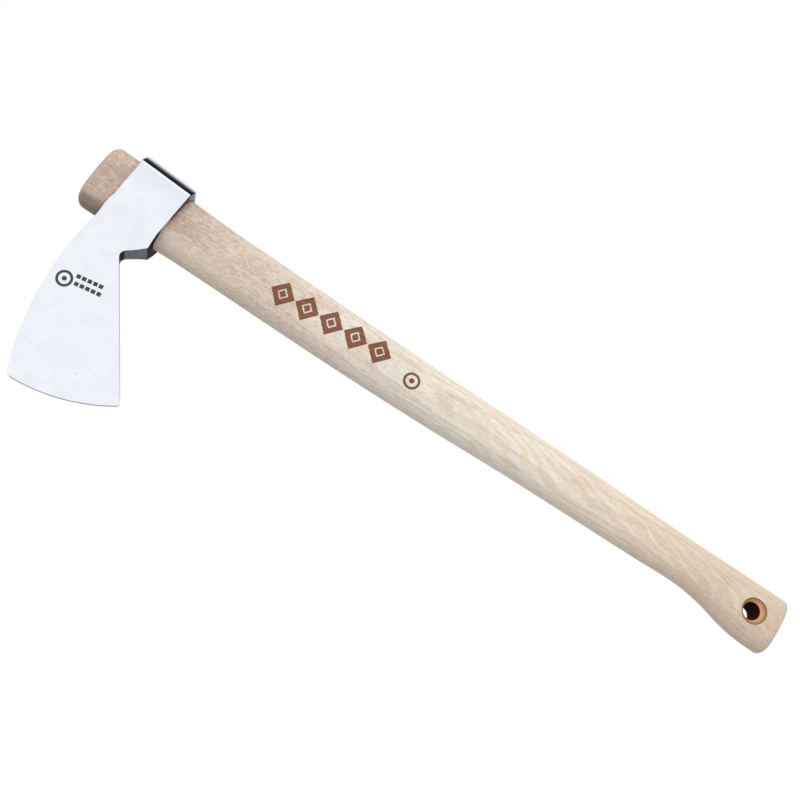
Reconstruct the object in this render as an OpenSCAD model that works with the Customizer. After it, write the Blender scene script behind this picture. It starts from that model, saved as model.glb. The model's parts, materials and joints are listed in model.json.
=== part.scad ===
// Carving hatchet: a one-piece forged bearded head on a long slip-fit haft.
// X runs along the haft towards the butt end, Z points away from the cutting edge and Y is the thickness.
// The origin is at the middle of the haft's length, on the centre plane, level with the lowest point of the edge.

/* [Haft] */
// Overall length of the haft
haft_length = 500; // [460:1:540]
// Half thickness of the haft at its flared top
flare_half_thickness = 12.9; // [12.7:0.1:13.2]
// Half thickness of the haft where it leaves the eye
eye_half_thickness = 12; // [11.9:0.1:12.3]
// Half thickness of the haft at the grip
grip_half_thickness = 10.4; // [9.5:0.1:11]
// Half thickness of the haft at the butt knob
knob_half_thickness = 11.5; // [10.5:0.1:11.6]
// Squareness of the oval section: 2 is an ellipse
section_power = 2.6; // [2:0.1:3]
// Edge rounding of the flared top end
top_rounding = 5.5; // [3:0.5:8]
// Edge rounding of the butt end
butt_rounding = 3.5; // [3:0.5:7]
// Sides of the haft's section
section_sides = 40; // [24:4:48]

/* [Hanging hole] */
// Diameter of the hanging hole
hole_diameter = 10.8; // [8:0.1:13]
// Distance of the hole's centre from the butt end
hole_setback = 20.3; // [15:0.1:26]
// Height of the hole's centre above the haft's axis
hole_rise = -0.2; // [-2:0.1:3]
// Diameter of the front countersink at the face
countersink_diameter = 16.5; // [13:0.1:17]
// Depth of the front countersink
countersink_depth = 2.4; // [1:0.1:5]
// How far the front countersink sits off the hole's centre, towards the butt and the poll side
countersink_shift = [1.1, 0.5];
// Width and depth of the rear countersink
rear_break = 2.2; // [0.3:0.1:2.5]

/* [Eye and poll] */
// Length of the haft that stands proud above the head
haft_proud = 20.4; // [14:0.1:26]
// Height of the head along the haft, at the eye
eye_height = 34.7; // [32:0.1:40]
// Clearance between haft and eye, on each side
eye_clearance = 0.15; // [0.1:0.05:0.3]
// Half thickness of the head at the cheeks of the eye
cheek_half_thickness = 16.3; // [15.5:0.1:17.5]
// Rounding from the cheeks towards the blade
cheek_rounding = 15; // [12:0.5:16]
// Depth of that rounding's centre below the haft's axis
cheek_rounding_drop = 9; // [7:0.5:11]
// Radius of the hollow between cheek and blade
hollow_radius = 20; // [15:0.5:25]
// Height of the poll above the haft's axis, at the eye's upper face
poll_rise = 28; // [26:0.1:29]
// Slope of the poll and the cheeks down towards the butt, in degrees
poll_slope = 2.5; // [0:0.1:3]
// Radius of the crowned poll, between the two cheeks
poll_radius = 18.8; // [17:0.1:30]
// How far the eye's lower face leans towards the butt, from the notch's mouth up to the poll
face_lean = 3; // [0:0.1:4]
// Rounding of the poll at the eye's upper face, in side view
poll_upper_rounding = 4; // [1:0.5:5]
// Rounding of the poll at the eye's lower face, in side view
poll_lower_rounding = 6; // [1:0.5:7]

/* [Blade] */
// Radius of the curved cutting edge
edge_radius = 113; // [105:0.5:120]
// Centre of the edge's curve, from the eye's lower face and the haft's axis
edge_centre = [-24.3, -20.8];
// Radius of the blade's top edge
top_edge_radius = 200; // [190:1:210]
// Centre of the top edge's curve, from the eye's lower face and the haft's axis
top_edge_centre = [160.9, -50.5];
// Rounding of the toe, where top edge and cutting edge meet
toe_radius = 4.5; // [2:0.5:6]
// Rounding of the heel, where beard and cutting edge meet
heel_radius = 2; // [1:0.5:4]
// Height of the eye's lower corner below the haft's axis
notch_mouth_drop = 24.2; // [23:0.1:26]
// Inner corner of the notch behind the beard, from the eye's lower face and the haft's axis
notch_corner = [-12.9, -34.8];
// Rounding inside the notch
notch_radius = 4; // [2:0.5:6]
// Angle of the beard's back, in degrees below the haft's direction
beard_angle = 54; // [50:0.1:56]
// Half thickness of the blade behind the notch
blade_half_thickness = 7.1; // [6:0.1:7.5]
// Half thickness of the blade at the shoulder of the bevel
bevel_half_thickness = 2.8; // [1.5:0.1:3.2]
// Width of the sharpened bevel
bevel_width = 13; // [8:0.5:16]
// Half thickness left at the cutting edge
edge_half_thickness = 0.1; // [0.05:0.05:0.3]

/* [Hidden] */

// How far cutting bodies reach past the surface they cut
margin = 1;
// How far the head's side view stands clear of the poll's crown
crown_margin = 0.02;
// Flat steps in a small rounding, and in the long curves of the blade
arc_steps = 8;
edge_steps = 32;
// How far the sharpened bevel is carried on outside the cutting edge before it is cut back
rim_margin = 0.2;
// Spacing of the haft's sections along the shaft and in the eye, and angle between them round its ends
ring_step = 10;
eye_ring_step = 5;
end_ring_angle = 15;
// Below the hollows the eye's section narrows at this slope, so that it ends inside the blade
neck_taper = 0.1;
neck_length = 28;
// Length that the eye's section is drawn out to, well past both faces of the eye
section_length = 140;

eye_top = haft_proud;
eye_bottom = haft_proud + eye_height;

// Stations along the haft: distance from the top end, edge side, poll side, half thickness
stations = [
    [0, -21.8, 22, flare_half_thickness],
    [eye_top - 10, -21.8, 22, flare_half_thickness],
    [eye_top, -21.4, 21.6, flare_half_thickness - 0.1],
    [eye_bottom, -18.6, 19.7, eye_half_thickness],
    [haft_length * 0.18, -17.9, 18.4, eye_half_thickness - 0.2],
    [haft_length * 0.32, -17.5, 18.2, eye_half_thickness - 0.4],
    [haft_length * 0.42, -16.7, 18, eye_half_thickness - 0.6],
    [haft_length * 0.52, -15, 18.1, grip_half_thickness + 0.8],
    [haft_length * 0.62, -12.7, 18.7, grip_half_thickness + 0.5],
    [haft_length * 0.72, -11.2, 18.9, grip_half_thickness + 0.2],
    [haft_length * 0.82, -9.8, 18.9, grip_half_thickness],
    [haft_length - 73, -8.8, 18.7, grip_half_thickness],
    [haft_length - 61, -9.1, 18.9, grip_half_thickness + 0.1],
    [haft_length - 46, -11.2, 19.1, grip_half_thickness + 0.4],
    [haft_length - 36, -14, 19.3, knob_half_thickness - 0.4],
    [haft_length - 26, -16.3, 19.4, knob_half_thickness - 0.1],
    [haft_length - 13, -17.5, 19.5, knob_half_thickness],
    [haft_length, -17.3, 19.4, knob_half_thickness]
];

// Toe circle: tangent inside both the cutting edge's curve and the top edge's curve
toe_centre = circles_meet(edge_centre, edge_radius - toe_radius, top_edge_centre, top_edge_radius - toe_radius);
beard_direction = [cos(beard_angle), -sin(beard_angle)];
beard_inward = [-sin(beard_angle), -cos(beard_angle)];
heel_centre = line_meets_circle(
    notch_corner + heel_radius * beard_inward, beard_direction, edge_centre, edge_radius - heel_radius);

// Height of the haft's axis above the lowest point of the cutting edge
axis_height = toe_radius - toe_centre[1];
eye_face_x = eye_bottom - haft_length / 2;
hole_x = haft_length / 2 - hole_setback;

// Lower meeting point of two circles whose centres are a and b, with b to the right of a
function circles_meet(a, ra, b, rb) =
    let (
        gap = norm(b - a),
        along_line = (ra * ra - rb * rb + gap * gap) / (2 * gap),
        off_line = sqrt(ra * ra - along_line * along_line),
        dir = (b - a) / gap
    )
    a + along_line * dir + off_line * [dir[1], -dir[0]];

// Far point where a line from p in unit direction dir leaves a circle
function line_meets_circle(p, dir, centre, radius) =
    let (
        to_centre = centre - p,
        nearest = to_centre * dir,
        miss = to_centre * to_centre - nearest * nearest
    )
    p + (nearest + sqrt(radius * radius - miss)) * dir;

// Points of an arc about a centre, between two angles
function arc(centre, radius, from, to, steps = arc_steps) =
    [for (i = [0:steps])
        let (angle = from + (to - from) * i / steps)
        centre + radius * [cos(angle), sin(angle)]];

// Angle of a vector, between -270 and 90 degrees
function direction(v) = atan2(v[1], v[0]) - (atan2(v[1], v[0]) > 90 ? 360 : 0);

// Points of an arc that rounds the corner at b between a and c
function rounded_corner(a, b, c, radius) =
    let (
        to_a = (a - b) / norm(a - b),
        to_c = (c - b) / norm(c - b),
        half_angle = acos(to_a * to_c) / 2,
        middle = (to_a + to_c) / norm(to_a + to_c),
        centre = b + middle * radius / sin(half_angle),
        from_a = b + to_a * radius / tan(half_angle) - centre,
        from_c = b + to_c * radius / tan(half_angle) - centre,
        turn = 180 - 2 * half_angle
    )
    [for (i = [0:arc_steps])
        centre + (from_a * sin(turn * (1 - i / arc_steps)) + from_c * sin(turn * i / arc_steps)) / sin(turn)];

// Slope of a station column at station i
function station_slope(i, column) =
    let (
        before = stations[max(i - 1, 0)],
        after = stations[min(i + 1, len(stations) - 1)]
    )
    (after[column] - before[column]) / (after[0] - before[0]);

function station_before(s, i = 0) =
    i >= len(stations) - 2 || s <= stations[i + 1][0] ? i : station_before(s, i + 1);

// Smooth value of a station column at distance s from the top end
function haft_value(s, column) =
    let (
        i = station_before(s),
        a = stations[i],
        b = stations[i + 1],
        span = b[0] - a[0],
        t = (s - a[0]) / span
    )
    (1 + 2 * t) * (1 - t) * (1 - t) * a[column]
        + t * t * (3 - 2 * t) * b[column]
        + t * (1 - t) * (1 - t) * span * station_slope(i, column)
        - t * t * (1 - t) * span * station_slope(i + 1, column);

// How far the section is drawn in at distance s, to round the two ends
function end_inset(s) =
    s < top_rounding ? top_rounding - sqrt(pow(top_rounding, 2) - pow(top_rounding - s, 2))
    : s > haft_length - butt_rounding
        ? butt_rounding - sqrt(pow(butt_rounding, 2) - pow(s - haft_length + butt_rounding, 2))
    : 0;

function signed_power(value, power) = sign(value) * pow(abs(value), power);

// Points round the haft's section at distance s, moved out by grow
function haft_ring(s, grow) =
    let (
        inset = end_inset(s) - grow,
        low = haft_value(s, 1) + inset,
        high = haft_value(s, 2) - inset,
        half = haft_value(s, 3) - inset
    )
    [for (k = [0:section_sides - 1])
        let (
            angle = 360 * k / section_sides,
            z = (low + high) / 2 + (high - low) / 2 * signed_power(sin(angle), 2 / section_power)
        )
        [s - haft_length / 2, half * signed_power(cos(angle), 2 / section_power), z]];

// Solid through the haft's sections at the given distances
module haft_loft(distances, grow = 0) {
    rings = len(distances);
    sides = section_sides;
    points = [for (s = distances) each haft_ring(s, grow)];
    walls = [for (r = [0:rings - 2], k = [0:sides - 1])
        let (a = r * sides + k, b = r * sides + (k + 1) % sides)
        each [[a, b + sides, b], [a, a + sides, b + sides]]];
    start = [for (k = [0:sides - 1]) k];
    finish = [for (k = [sides - 1:-1:0]) (rings - 1) * sides + k];
    translate([0, 0, axis_height])
        polyhedron(points, concat([start], walls, [finish]), convexity = 4);
}

function end_distances(radius) = [for (a = [0:end_ring_angle:90]) radius * (1 - cos(a))];

// Sections in the eye are shared by haft and head, so that the clearance is even
eye_distances = [for (i = [-1:ceil(eye_height / eye_ring_step) + 1])
    eye_top + i * eye_height / ceil(eye_height / eye_ring_step)];
shaft_start = eye_distances[len(eye_distances) - 1];
shaft_end = haft_length - butt_rounding;
shaft_rings = ceil((shaft_end - shaft_start) / ring_step);
haft_distances = concat(
    end_distances(top_rounding),
    [(top_rounding + eye_distances[0]) / 2],
    eye_distances,
    [for (i = [1:shaft_rings - 1]) shaft_start + i * (shaft_end - shaft_start) / shaft_rings],
    [for (d = end_distances(butt_rounding)) shaft_end + butt_rounding * sqrt(1 - pow(1 - d / butt_rounding, 2))]
);

module hanging_hole() {
    reach = knob_half_thickness + margin;
    translate([hole_x, 0, axis_height + hole_rise])
        rotate([-90, 0, 0]) {
            cylinder(d = hole_diameter, h = 2 * reach, center = true, $fn = 64);
            hull() {
                translate([countersink_shift[0], -countersink_shift[1], -reach])
                    cylinder(d = countersink_diameter, h = margin, $fn = 64);
                translate([0, 0, countersink_depth - knob_half_thickness])
                    cylinder(d = hole_diameter, h = margin, $fn = 64);
            }
            translate([0, 0, knob_half_thickness - rear_break])
                cylinder(
                    h = rear_break + margin,
                    r1 = hole_diameter / 2,
                    r2 = hole_diameter / 2 + rear_break + margin,
                    $fn = 64);
        }
}

module haft() {
    color([0.86, 0.78, 0.68])
        difference() {
            haft_loft(haft_distances);
            hanging_hole();
        }
}

// Side view of the head, clockwise from the poll's end at the eye's lower face
module head_outline() {
    mouth = [0, -notch_mouth_drop];
    poll_top = poll_rise + crown_margin;
    poll_corner = [face_lean, poll_top - (eye_height + face_lean) * tan(poll_slope)];
    heel_on_beard = heel_centre - heel_radius * beard_inward;
    from_centre = top_edge_centre[0] + eye_height;
    top_edge_start = [-eye_height, top_edge_centre[1] + sqrt(pow(top_edge_radius, 2) - pow(from_centre, 2))];
    heel_angle = direction(heel_centre - edge_centre);
    toe_angle = direction(toe_centre - edge_centre);
    top_edge_angle = direction(toe_centre - top_edge_centre);
    polygon(concat(
        rounded_corner([-eye_height, poll_top], poll_corner, mouth, poll_lower_rounding),
        [mouth],
        rounded_corner(mouth, notch_corner, heel_on_beard, notch_radius),
        arc(heel_centre, heel_radius, 90 - beard_angle, heel_angle),
        arc(edge_centre, edge_radius, heel_angle, toe_angle, edge_steps),
        arc(toe_centre, toe_radius, toe_angle, top_edge_angle),
        arc(top_edge_centre, top_edge_radius, top_edge_angle, direction(top_edge_start - top_edge_centre), edge_steps),
        rounded_corner([-eye_height, 0], [-eye_height, poll_top], poll_corner, poll_upper_rounding)
    ));
}

// Lower half of the tapered blade: a thin double cone about the centre of the edge's curve
module blade_taper() {
    shoulder = edge_radius - bevel_width;
    taper = (blade_half_thickness - bevel_half_thickness) / (shoulder + edge_centre[1]);
    bevel_slope = (bevel_half_thickness - edge_half_thickness) / bevel_width;
    middle = bevel_half_thickness + taper * shoulder;
    rim = edge_half_thickness - bevel_slope * rim_margin;
    translate([edge_centre[0], 0, edge_centre[1]])
        rotate([-90, 0, 0])
            rotate_extrude(angle = 180, $fn = 360)
                polygon([
                    [0, -middle],
                    [shoulder, -bevel_half_thickness],
                    [edge_radius + rim_margin, -rim],
                    [edge_radius + rim_margin, rim],
                    [shoulder, bevel_half_thickness],
                    [0, middle]
                ]);
}

// Section across the eye: crowned poll, flat cheeks, and hollows that run out onto the blade
module eye_section() {
    side = cheek_half_thickness - cheek_rounding;
    hollow_y = blade_half_thickness + hollow_radius;
    turn = acos((hollow_y - side) / (cheek_rounding + hollow_radius));
    hollow_z = -cheek_rounding_drop - (cheek_rounding + hollow_radius) * sin(turn);
    half = concat(
        arc([0, poll_rise - poll_radius], poll_radius, 90, acos(cheek_half_thickness / poll_radius)),
        arc([side, -cheek_rounding_drop], cheek_rounding, 0, -turn),
        arc([hollow_y, hollow_z], hollow_radius, 180 - turn, 180),
        [[blade_half_thickness - neck_taper * neck_length, hollow_z - neck_length]]
    );
    last = len(half) - 1;
    polygon(concat(half, [for (i = [last:-1:0]) [-half[i][0], half[i][1]]]));
}

module head() {
    color([0.9, 0.91, 0.93])
        difference() {
            translate([eye_face_x, 0, axis_height])
                intersection() {
                    rotate([90, 0, 0])
                        linear_extrude(height = 2 * (cheek_half_thickness + margin), center = true)
                            head_outline();
                    union() {
                        blade_taper();
                        translate([-eye_height, 0, poll_rise])
                            rotate([0, poll_slope, 0])
                                rotate([90, 0, 90])
                                    linear_extrude(height = section_length, center = true)
                                        translate([0, -poll_rise])
                                            eye_section();
                    }
                }
            haft_loft(eye_distances, eye_clearance);
        }
}

haft();
head();
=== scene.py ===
"""Looks of the carving hatchet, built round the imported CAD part: metres, in the CAD frame."""

import json
import math

import bmesh
import bpy
import numpy as np
from mathutils import Matrix, Vector


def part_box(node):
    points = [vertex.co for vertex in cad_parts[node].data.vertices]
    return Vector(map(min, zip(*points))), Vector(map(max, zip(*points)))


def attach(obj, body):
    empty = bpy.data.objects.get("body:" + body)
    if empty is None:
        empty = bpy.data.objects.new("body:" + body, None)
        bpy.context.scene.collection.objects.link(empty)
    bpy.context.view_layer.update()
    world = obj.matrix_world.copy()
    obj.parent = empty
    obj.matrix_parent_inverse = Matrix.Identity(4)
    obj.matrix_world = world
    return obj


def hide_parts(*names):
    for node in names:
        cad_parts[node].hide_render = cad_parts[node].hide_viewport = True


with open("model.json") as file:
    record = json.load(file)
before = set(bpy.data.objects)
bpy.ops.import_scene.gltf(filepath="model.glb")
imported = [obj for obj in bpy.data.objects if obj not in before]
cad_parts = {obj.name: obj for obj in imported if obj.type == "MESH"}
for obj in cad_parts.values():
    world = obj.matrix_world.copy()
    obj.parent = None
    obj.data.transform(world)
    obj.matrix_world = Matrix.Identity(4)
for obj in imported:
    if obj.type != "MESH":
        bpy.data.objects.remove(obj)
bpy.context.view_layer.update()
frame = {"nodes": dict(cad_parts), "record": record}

# Sizes are in millimetres and turned into metres where a mesh is made
MM = 0.001

# How far a cutting body reaches past the surface that it cuts
CUT_MARGIN = 3

# Haft, as in the CAD source
SECTION_POWER = 2.6
TOP_ROUNDING = 5.5
BUTT_ROUNDING = 3.5
HAFT_SIDES = 120
RING_STEP = 2.5
END_RINGS = 9

# Hanging hole: the off-centre countersink on the near side and the plain one on the far side
HOLE = frame["record"]["mounts"][0]
COUNTERSINK_RADIUS = 8.25
COUNTERSINK_DEPTH = 2.4
COUNTERSINK_SHIFT = (1.1, 0.5)
REAR_BREAK = 2.2
HOLE_LIP = 0.35
HOLE_RISE = -0.2
HOLE_SIDES = 96

# Head, as in the CAD source: heights are above the haft's axis, distances from the eye's lower face
POLL_RISE = 28.0
POLL_SLOPE = math.tan(math.radians(2.5))
POLL_RADIUS = 18.8
EYE_HEIGHT = 34.7
FACE_LEAN = 3.0
NOTCH_MOUTH_DROP = 24.2
CHEEK_ROUNDING = 15.0
CHEEK_ROUNDING_DROP = 9.0
HOLLOW_RADIUS = 20.0
EDGE_RADIUS = 113.0
EDGE_CENTRE = (-24.3, -20.8)
BLADE_HALF_THICKNESS = 7.1
BEVEL_HALF_THICKNESS = 2.8
BEVEL_WIDTH = 13.0
EDGE_HALF_THICKNESS = 0.1
NECK_TAPER = 0.1
EYE_CLEARANCE = 0.15

# Head, details that only the looks have
ARRIS = 0.5
POLL_ARRIS = 1.1
CREASE = 0.2
BLEND = 1.2
EYE_CHAMFER = 0.35
LAST_FLAT_ROW = -38.5
FIRST_ARC_ROW = 28.0
HEAD_COLUMNS = 90
CROWN_ROWS = 34
CHEEK_ROW_STEP = 2
LOWER_ROW_STEP = 0.6
BLADE_ROW_STEP = 2
BEVEL_ROW_STEP = 1.5
BLEND_ROWS = 12
PROFILE_ROWS = 700
PROFILE_INSET = 0.02
SLOPE_PASSES = 4

# Camera, at the photograph's viewing angle
VIEW_TILT = math.radians(19.3)
VIEW_ROLL = math.radians(34.05)
VIEW_PLACE = Vector((-18.4, -775.7, -149.0)) * MM
VIEW_LENS = 60.63

# Floor and key light, in metres and watts
FLOOR_HALF = 40.0
FLOOR_GAP = 0.5 * MM
KEY_PLACE = (-0.45, -0.8, 0.95)
KEY_TARGET = (0.0, 0.0, 0.1)
KEY_SIZE = 0.7
KEY_POWER = 6.0

# Dark strip overhead, as angles from the near horizon: where it starts and ends, each as a fade
STRIP_NEAR = (math.radians(52), math.radians(60))
STRIP_FAR = (math.radians(138), math.radians(98))
STRIP_DARKNESS = 0.985

# Brightness of the surroundings from straight below to well above the horizon, for light on dull surfaces
SOFT_LEVELS = (0.84, 1.08)


# ---------------------------------------------------------------- reading the CAD frame

def edge_ends(node):
    """Both ends of every edge of a CAD node's mesh."""
    mesh = frame["nodes"][node].data
    points = np.array([v.co for v in mesh.vertices]) / MM
    edges = np.array([e.vertices for e in mesh.edges])
    return points[edges[:, 0]], points[edges[:, 1]]


def slice_points(ends, axis, value):
    """Points where a mesh's edges cross a plane."""
    a, b = ends
    before, after = a[:, axis] - value, b[:, axis] - value
    hit = before * after < 0
    share = before[hit] / (before[hit] - after[hit])
    return a[hit] + share[:, None] * (b[hit] - a[hit])


def smoothed(rows):
    """Rows of a profile, evened out over the length of one CAD facet."""
    kernel = np.array([1, 2, 3, 2, 1]) / 9
    padded = np.pad(rows, ((2, 2), (0, 0)), mode="edge")
    return np.stack([np.convolve(padded[:, i], kernel, "valid") for i in range(rows.shape[1])], 1)


def haft_profile():
    """Places along the haft, and its edge side, poll side and half thickness there."""
    ends = edge_ends("haft")
    low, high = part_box("haft")
    places = np.arange(low.x / MM + TOP_ROUNDING + 1, high.x / MM - BUTT_ROUNDING - 1, RING_STEP)
    rows = []
    for x in places:
        cut = slice_points(ends, 0, x)
        rows.append((cut[:, 2].min(), cut[:, 2].max(), np.abs(cut[:, 1]).max()))
    return places, smoothed(np.array(rows))


def head_profile():
    """Heights of the head in the frame, and its top-edge side and beard side there."""
    ends = edge_ends("head")
    low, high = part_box("head")
    heights = np.linspace(high.z / MM - PROFILE_INSET, low.z / MM + PROFILE_INSET, PROFILE_ROWS)
    rows = []
    for z in heights:
        cut = slice_points(ends, 2, z)
        rows.append((cut[:, 0].min(), cut[:, 0].max()))
    return heights, np.array(rows)


def eye_faces(axis_z):
    """Upper face of the eye, and the foot of its leaning lower face at the notch's mouth."""
    upper = min(v.co.x / MM for v in frame["nodes"]["head"].data.vertices if v.co.z / MM > axis_z)
    return upper, upper + EYE_HEIGHT


# ---------------------------------------------------------------- making meshes

def make_piece(name, points, faces):
    """A mesh object with merged vertices and normals that point outwards."""
    mesh = bpy.data.meshes.new(name)
    mesh.from_pydata((np.asarray(points) * MM).tolist(), [], faces)
    work = bmesh.new()
    work.from_mesh(mesh)
    bmesh.ops.remove_doubles(work, verts=work.verts, dist=0.002 * MM)
    bmesh.ops.recalc_face_normals(work, faces=work.faces)
    work.to_mesh(mesh)
    work.free()
    piece = bpy.data.objects.new(name, mesh)
    bpy.context.scene.collection.objects.link(piece)
    return piece


def loft(rings):
    """Points and faces of a closed body through rings of equal length."""
    sides = len(rings[0])
    points = np.concatenate(rings)
    faces = []
    for r in range(len(rings) - 1):
        for k in range(sides):
            a, b = r * sides + k, r * sides + (k + 1) % sides
            faces.append((a, b, b + sides, a + sides))
    faces.append(tuple(range(sides)))
    faces.append(tuple((len(rings) - 1) * sides + k for k in range(sides)))
    return points, faces


def cut_away(piece, cutter):
    """Takes a closed body out of a piece."""
    modifier = piece.modifiers.new("cut", "BOOLEAN")
    modifier.operation = "DIFFERENCE"
    modifier.solver = "EXACT"
    modifier.object = cutter
    bpy.context.view_layer.update()
    graph = bpy.context.evaluated_depsgraph_get()
    result = bpy.data.meshes.new_from_object(piece.evaluated_get(graph))
    piece.modifiers.clear()
    piece.data = result
    bpy.data.objects.remove(cutter)


def shade(piece, sharp_degrees):
    """Smooth shading that keeps true edges, with flat faces left flat."""
    mesh = piece.data
    for polygon in mesh.polygons:
        polygon.use_smooth = True
    mesh.set_sharp_from_angle(angle=math.radians(sharp_degrees))
    modifier = piece.modifiers.new("even", "WEIGHTED_NORMAL")
    modifier.keep_sharp = True


def finish_piece(piece, node, material, sharp_degrees):
    """Material and shading, and the ties to the CAD node that the piece stands for."""
    piece.data.materials.clear()
    piece.data.materials.append(material)
    shade(piece, sharp_degrees)
    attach(piece, node)
    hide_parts(node)


# ---------------------------------------------------------------- haft

def haft_ring(profile, x, grow):
    """Ring of points round the haft's section at x, moved out by grow."""
    places, rows = profile
    low, high, half = (np.interp(x, places, rows[:, i]) for i in range(3))
    angles = np.arange(HAFT_SIDES) * 2 * math.pi / HAFT_SIDES
    across, along = np.cos(angles), np.sin(angles)
    power = 2 / SECTION_POWER
    y = (half + grow) * np.sign(across) * np.abs(across) ** power
    z = (low + high) / 2 + ((high - low) / 2 + grow) * np.sign(along) * np.abs(along) ** power
    return np.stack([np.full_like(y, x), y, z], 1)


def haft_rings(profile):
    """Rings from the rounded top end to the rounded butt end."""
    low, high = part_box("haft")
    start, finish = low.x / MM, high.x / MM
    turns = np.linspace(0, math.pi / 2, END_RINGS)
    rings = []
    for a in turns:
        inset = TOP_ROUNDING * (1 - math.sin(a))
        rings.append(haft_ring(profile, start + TOP_ROUNDING * (1 - math.cos(a)), -inset))
    middle = np.arange(start + TOP_ROUNDING + RING_STEP, finish - BUTT_ROUNDING - 1, RING_STEP)
    rings += [haft_ring(profile, x, 0) for x in middle]
    for a in turns[::-1]:
        inset = BUTT_ROUNDING * (1 - math.sin(a))
        rings.append(haft_ring(profile, finish - BUTT_ROUNDING * (1 - math.cos(a)), -inset))
    return rings


def hole_cutter(half):
    """Body that cuts the hanging hole, with its countersink on the near side and eased lips."""
    radius = HOLE["dims"]["r_mm"]
    centre = np.array(HOLE["pos_m"]) / MM
    steps = [
        (-half - CUT_MARGIN, COUNTERSINK_RADIUS + HOLE_LIP + CUT_MARGIN, 1.0),
        (-half + HOLE_LIP / 2, COUNTERSINK_RADIUS, 1.0),
        (-half + COUNTERSINK_DEPTH - HOLE_LIP, radius + HOLE_LIP / 2, 0.1),
        (-half + COUNTERSINK_DEPTH + HOLE_LIP, radius, 0.0),
        (half - REAR_BREAK, radius, 0.0),
        (half + CUT_MARGIN, radius + REAR_BREAK + CUT_MARGIN, 0.0),
    ]
    angles = np.arange(HOLE_SIDES) * 2 * math.pi / HOLE_SIDES
    rings = []
    for y, r, shift in steps:
        x = centre[0] + shift * COUNTERSINK_SHIFT[0] + r * np.cos(angles)
        z = centre[2] + shift * COUNTERSINK_SHIFT[1] + r * np.sin(angles)
        rings.append(np.stack([x, np.full_like(angles, y), z], 1))
    return make_piece("hole_cutter", *loft(rings))


def build_haft(profile, material):
    haft = make_piece("haft_wood", *loft(haft_rings(profile)))
    half = np.interp(HOLE["pos_m"][0] / MM, profile[0], profile[1][:, 2])
    cut_away(haft, hole_cutter(half))
    finish_piece(haft, "haft", material, 40)
    return haft


# ---------------------------------------------------------------- head

def section_half_width(z):
    """Half width of the eye's section at heights above the haft's axis: crown, cheek, rounding, hollow."""
    z = np.asarray(z, float)
    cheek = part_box("head")[1].y / MM
    side = cheek - CHEEK_ROUNDING
    hollow_y = BLADE_HALF_THICKNESS + HOLLOW_RADIUS
    turn = math.acos((hollow_y - side) / (CHEEK_ROUNDING + HOLLOW_RADIUS))
    hollow_z = -CHEEK_ROUNDING_DROP - (CHEEK_ROUNDING + HOLLOW_RADIUS) * math.sin(turn)
    meet_z = -CHEEK_ROUNDING_DROP - CHEEK_ROUNDING * math.sin(turn)
    crown = np.sqrt(np.clip(POLL_RADIUS ** 2 - (z - POLL_RISE + POLL_RADIUS) ** 2, 0, None))
    upper = np.where(z > POLL_RISE - POLL_RADIUS, np.minimum(crown, cheek), cheek)
    rounding = side + np.sqrt(np.clip(CHEEK_ROUNDING ** 2 - (z + CHEEK_ROUNDING_DROP) ** 2, 0, None))
    hollow = hollow_y - np.sqrt(np.clip(HOLLOW_RADIUS ** 2 - (z - hollow_z) ** 2, 0, None))
    neck = BLADE_HALF_THICKNESS - NECK_TAPER * (hollow_z - z)
    result = np.where(z < -CHEEK_ROUNDING_DROP, rounding, upper)
    result = np.where(z < meet_z, hollow, result)
    return np.where(z < hollow_z, neck, result)


def blade_half_width(radius):
    """Half width of the blade at a distance from the centre of the edge's curve."""
    shoulder = EDGE_RADIUS - BEVEL_WIDTH
    taper = (BLADE_HALF_THICKNESS - BEVEL_HALF_THICKNESS) / (shoulder + EDGE_CENTRE[1])
    body = BEVEL_HALF_THICKNESS + taper * (shoulder - radius)
    bevel = (BEVEL_HALF_THICKNESS - EDGE_HALF_THICKNESS) * (EDGE_RADIUS - radius) / BEVEL_WIDTH
    return np.where(radius < shoulder, body, EDGE_HALF_THICKNESS + bevel)


def poll_drop(x):
    """How far the sloping poll and cheeks have dropped at a distance from the eye's lower face."""
    return POLL_SLOPE * (x + EYE_HEIGHT)


def head_half_width(x, z):
    """Half width of the head at a point of its side view; the hollows run softly out onto the blade."""
    section = section_half_width(z + poll_drop(x))
    radius = np.hypot(x - EDGE_CENTRE[0], z - EDGE_CENTRE[1])
    blade = np.where(z < EDGE_CENTRE[1], blade_half_width(radius), 0)
    gap = np.clip(1 - np.abs(section - blade) / BLEND, 0, 1)
    return np.maximum(section, blade) + np.where(z < EDGE_CENTRE[1], gap * gap * BLEND / 4, 0)


def arris_at(z, half):
    """Size of the eased edges: larger round the poll, and never more than the blade is thick."""
    size = np.interp(z, [0, POLL_RISE / 2], [ARRIS, POLL_ARRIS])
    return np.minimum(size, 0.45 * half)


def row_shares(width, arris):
    """Places of a row's points from side to side, and how far each is let in for the eased edges."""
    places = np.concatenate([
        [0, 0.12 * arris, 0.42 * arris, arris],
        np.linspace(arris, width - arris, HEAD_COLUMNS)[1:-1],
        [width - arris, width - 0.42 * arris, width - 0.12 * arris, width],
    ])
    inset = np.zeros_like(places)
    inset[:4] = inset[:-5:-1] = [arris, 0.52 * arris, 0.18 * arris, 0]
    return places / width, inset


def crease_height():
    """Height above the haft's axis where the crowned poll meets the flat cheeks."""
    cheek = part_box("head")[1].y / MM
    return POLL_RISE - POLL_RADIUS + math.sqrt(POLL_RADIUS ** 2 - cheek ** 2)


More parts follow.
